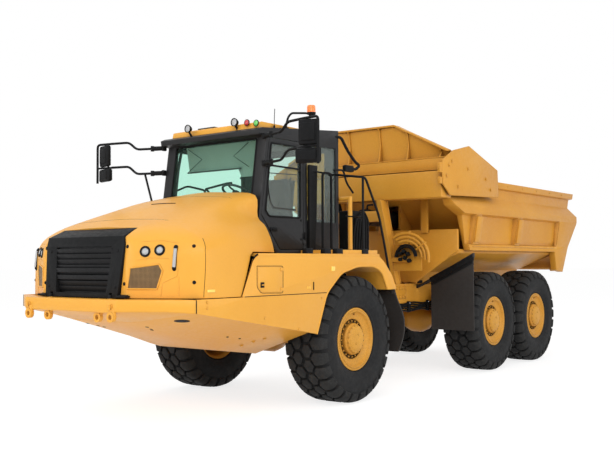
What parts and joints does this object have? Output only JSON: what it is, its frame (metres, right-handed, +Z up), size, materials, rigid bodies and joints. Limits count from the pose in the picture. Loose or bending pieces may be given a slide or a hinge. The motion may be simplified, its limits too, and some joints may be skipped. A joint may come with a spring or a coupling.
{
  "type": "articulated dump truck",
  "caption": "Six-wheel articulated off-road hauler with a tilting hood, hinged cab door, pivoting frame and a body emptied by a sliding blade through a drop tailgate.",
  "frame": {"origin": "centre of the bounding box at ground level, frame straight and blade forward", "axes": "-Y is the way the truck drives, +X its left side, +Z up"},
  "size_m": [3.812, 10.81, 3.88],
  "materials": {
    "yellow_paint": "semi-gloss warm yellow",
    "black_paint": "satin black",
    "chassis_iron": "rough grey",
    "rod_steel": "polished",
    "tyre_rubber": "matt",
    "flap_rubber": "matt",
    "cab_glass": "clear, green tint",
    "cab_trim": "matt dark grey",
    "amber_lens": "clear amber"
  },
  "bodies": {
    "tractor": {"front_frame": "yellow_paint", "front_axle": "yellow_paint", "engine": "chassis_iron", "bumper": "yellow_paint", "belly_pan": "yellow_paint", "fender_left": "yellow_paint", "fender_right": "yellow_paint", "deck": "yellow_paint", "front_flap_left": "flap_rubber", "front_flap_right": "flap_rubber", "cab_frame": "black_paint", "cab_roof": "yellow_paint", "windscreen": "cab_glass", "side_glass_right": "cab_glass", "side_glass_left": "cab_glass", "rear_glass": "cab_glass", "seat": "cab_trim", "dashboard": "cab_trim", "mirror_left": "black_paint", "mirror_right": "black_paint", "beacon": "amber_lens", "handrail": "black_paint"},
    "hood": {"hood": "yellow_paint", "grille_surround": "black_paint"},
    "door": {"cab_door": "black_paint", "door_glass": "cab_glass"},
    "wheel_front_left": {"tyre_front_left": "tyre_rubber", "rim_front_left": "yellow_paint"},
    "wheel_front_right": {"tyre_front_right": "tyre_rubber", "rim_front_right": "yellow_paint"},
    "wheel_centre_left": {"tyre_centre_left": "tyre_rubber", "rim_centre_left": "yellow_paint"},
    "wheel_centre_right": {"tyre_centre_right": "tyre_rubber", "rim_centre_right": "yellow_paint"},
    "wheel_rear_left": {"tyre_rear_left": "tyre_rubber", "rim_rear_left": "yellow_paint"},
    "wheel_rear_right": {"tyre_rear_right": "tyre_rubber", "rim_rear_right": "yellow_paint"},
    "steering_barrel_left": {"steering_barrel_left": "black_paint"},
    "steering_rod_left": {"steering_rod_left": "rod_steel"},
    "steering_barrel_right": {"steering_barrel_right": "black_paint"},
    "steering_rod_right": {"steering_rod_right": "rod_steel"},
    "hitch": {"hitch": "yellow_paint"},
    "rear_frame": {"rear_frame": "yellow_paint", "centre_axle": "yellow_paint", "rear_axle": "yellow_paint", "bogie_beam_left": "yellow_paint", "bogie_beam_right": "yellow_paint", "body_side_left": "yellow_paint", "body_side_right": "yellow_paint", "body_floor": "yellow_paint", "cross_beam": "yellow_paint", "hose_reel": "yellow_paint", "rear_flap_left": "flap_rubber", "rear_flap_right": "flap_rubber", "ram_barrel": "black_paint"},
    "ram_stage_1": {"ram_stage_1": "rod_steel"},
    "ram_stage_2": {"ram_stage_2": "rod_steel"},
    "ejector": {"ejector_blade": "yellow_paint"},
    "tailgate": {"tailgate": "yellow_paint"}
  },
  "joints": [
    {"name": "articulation", "type": "hinge", "parent": "tractor", "child": "hitch", "pos_m": [0, -0.755, 0.95], "axis": [0, 0, 1], "range_deg": [-45, 45]},
    {"name": "oscillation", "type": "hinge", "parent": "hitch", "child": "rear_frame", "pos_m": [0, -0.305, 0.95], "axis": [0, 1, 0], "range_deg": [-12, 12]},
    {"name": "hood_tilt", "type": "hinge", "parent": "tractor", "child": "hood", "pos_m": [0, -5.255, 1.425], "axis": [1, 0, 0], "range_deg": [0, 60]},
    {"name": "door_swing", "type": "hinge", "parent": "tractor", "child": "door", "pos_m": [0.868, -2.427, 2.5], "axis": [0, 0, 1], "range_deg": [0, 80]},
    {"name": "ejector_travel", "type": "slide", "parent": "rear_frame", "child": "ejector", "axis": [0, 1, 0], "range_m": [0, 2.7]},
    {"name": "ram_stage_1_travel", "type": "slide", "parent": "rear_frame", "child": "ram_stage_1", "axis": [0, 1, 0], "range_m": [0, 0.905]},
    {"name": "ram_stage_2_travel", "type": "slide", "parent": "ram_stage_1", "child": "ram_stage_2", "axis": [0, 1, 0], "range_m": [0, 0.905]},
    {"name": "tailgate_drop", "type": "hinge", "parent": "rear_frame", "child": "tailgate", "pos_m": [0, 4.767, 1.625], "axis": [-1, 0, 0], "range_deg": [0, 75]},
    {"name": "wheel_front_left_spin", "type": "hinge", "parent": "tractor", "child": "wheel_front_left", "pos_m": [1.17, -2.105, 0.8], "axis": [1, 0, 0], "continuous": true},
    {"name": "wheel_front_right_spin", "type": "hinge", "parent": "tractor", "child": "wheel_front_right", "pos_m": [-1.17, -2.105, 0.8], "axis": [1, 0, 0], "continuous": true},
    {"name": "wheel_centre_left_spin", "type": "hinge", "parent": "rear_frame", "child": "wheel_centre_left", "pos_m": [1.17, 1.895, 0.8], "axis": [1, 0, 0], "continuous": true},
    {"name": "wheel_centre_right_spin", "type": "hinge", "parent": "rear_frame", "child": "wheel_centre_right", "pos_m": [-1.17, 1.895, 0.8], "axis": [1, 0, 0], "continuous": true},
    {"name": "wheel_rear_left_spin", "type": "hinge", "parent": "rear_frame", "child": "wheel_rear_left", "pos_m": [1.17, 3.595, 0.8], "axis": [1, 0, 0], "continuous": true},
    {"name": "wheel_rear_right_spin", "type": "hinge", "parent": "rear_frame", "child": "wheel_rear_right", "pos_m": [-1.17, 3.595, 0.8], "axis": [1, 0, 0], "continuous": true},
    {"name": "steering_swing_left", "type": "hinge", "parent": "tractor", "child": "steering_barrel_left", "pos_m": [0.55, -1.805, 0.87], "axis": [0, 0, 1], "range_deg": [-9, 9]},
    {"name": "steering_stroke_left", "type": "slide", "parent": "steering_barrel_left", "child": "steering_rod_left", "axis": [-0.0739, 0.9973, 0], "range_m": [-0.375, 0.375]},
    {"name": "steering_swing_right", "type": "hinge", "parent": "tractor", "child": "steering_barrel_right", "pos_m": [-0.55, -1.805, 0.87], "axis": [0, 0, 1], "range_deg": [-9, 9]},
    {"name": "steering_stroke_right", "type": "slide", "parent": "steering_barrel_right", "child": "steering_rod_right", "axis": [0.0739, 0.9973, 0], "range_m": [-0.375, 0.375]}
  ],
  "couplings": [
    {"joint": "ram_stage_1_travel", "follows": "ejector_travel", "ratio": 0.33333},
    {"joint": "ram_stage_2_travel", "follows": "ejector_travel", "ratio": 0.33333},
    {"joint": "steering_swing_left", "follows": "articulation", "ratio": 0.161},
    {"joint": "steering_swing_right", "follows": "articulation", "ratio": 0.161},
    {"joint": "steering_stroke_left", "follows": "articulation", "m_per_rad": 0.471},
    {"joint": "steering_stroke_right", "follows": "articulation", "m_per_rad": -0.471}
  ]
}
